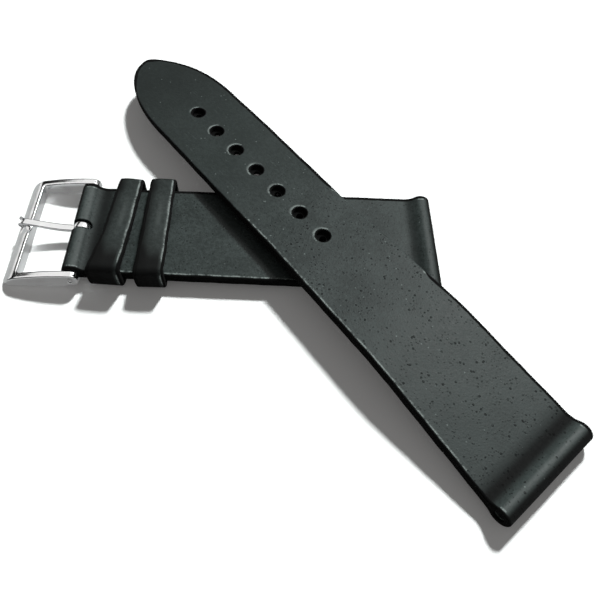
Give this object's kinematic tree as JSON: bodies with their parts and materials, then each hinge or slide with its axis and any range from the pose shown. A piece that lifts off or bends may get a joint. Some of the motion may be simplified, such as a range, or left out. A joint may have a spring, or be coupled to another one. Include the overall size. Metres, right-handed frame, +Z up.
{
  "type": "leather watch strap",
  "caption": "Two-part flat leather watch strap with rolled lug ends, punched tail, two keepers and a polished pin buckle; the tail half lies across the buckle half.",
  "frame": {"origin": "centre of the lug tunnel of the buckle half", "axes": "+Z up from the table, -X from the lug tunnel to the buckle, +Y along the lug tunnel"},
  "size_m": [0.1035, 0.1012, 0.0065],
  "materials": {
    "outer_leather": "satin charcoal grey grain leather with black painted edges",
    "lining_leather": "matt black lining leather",
    "keeper_leather": "smooth satin black leather",
    "polished_steel": "polished stainless steel",
    "spring_steel": "drawn spring steel"
  },
  "bodies": {
    "buckle_half": {"buckle_side_outer_leather": "outer_leather", "buckle_side_lining": "lining_leather", "fixed_keeper": "keeper_leather", "spring_bar_tube": "polished_steel", "spring_bar_coil": "spring_steel"},
    "tail_half": {"tail_outer_leather": "outer_leather", "tail_lining": "lining_leather"},
    "sliding_keeper": {"free_keeper": "keeper_leather"},
    "buckle": {"buckle_frame": "polished_steel"},
    "tang": {"buckle_tang": "polished_steel"},
    "near_nose": {"spring_bar_near_tip": "polished_steel"},
    "far_nose": {"spring_bar_far_tip": "polished_steel"}
  },
  "joints": [
    {"name": "tail_lift", "type": "slide", "parent": "buckle_half", "child": "tail_half", "axis": [0, 0, 1], "range_m": [0, 0.03]},
    {"name": "keeper_slide", "type": "slide", "parent": "buckle_half", "child": "sliding_keeper", "axis": [1, 0, 0], "range_m": [-0.0008, 0.0035]},
    {"name": "buckle_turn", "type": "hinge", "parent": "buckle_half", "child": "buckle", "pos_m": [-0.067, 0, 0.0003], "axis": [0, 1, 0], "range_deg": [-75, 50]},
    {"name": "tang_turn", "type": "hinge", "parent": "buckle", "child": "tang", "pos_m": [-0.067, 0, 0.0003], "axis": [0, 1, 0], "range_deg": [-5, 60]},
    {"name": "near_nose_push", "type": "slide", "parent": "buckle_half", "child": "near_nose", "axis": [0, 1, 0], "range_m": [0, 0.0015], "stiffness_N_per_m": 200, "springref_m": -0.003, "deforming": ["spring_bar_coil"]},
    {"name": "far_nose_push", "type": "slide", "parent": "buckle_half", "child": "far_nose", "axis": [0, -1, 0], "range_m": [0, 0.0015], "stiffness_N_per_m": 200, "springref_m": -0.003, "deforming": ["spring_bar_coil"]}
  ]
}
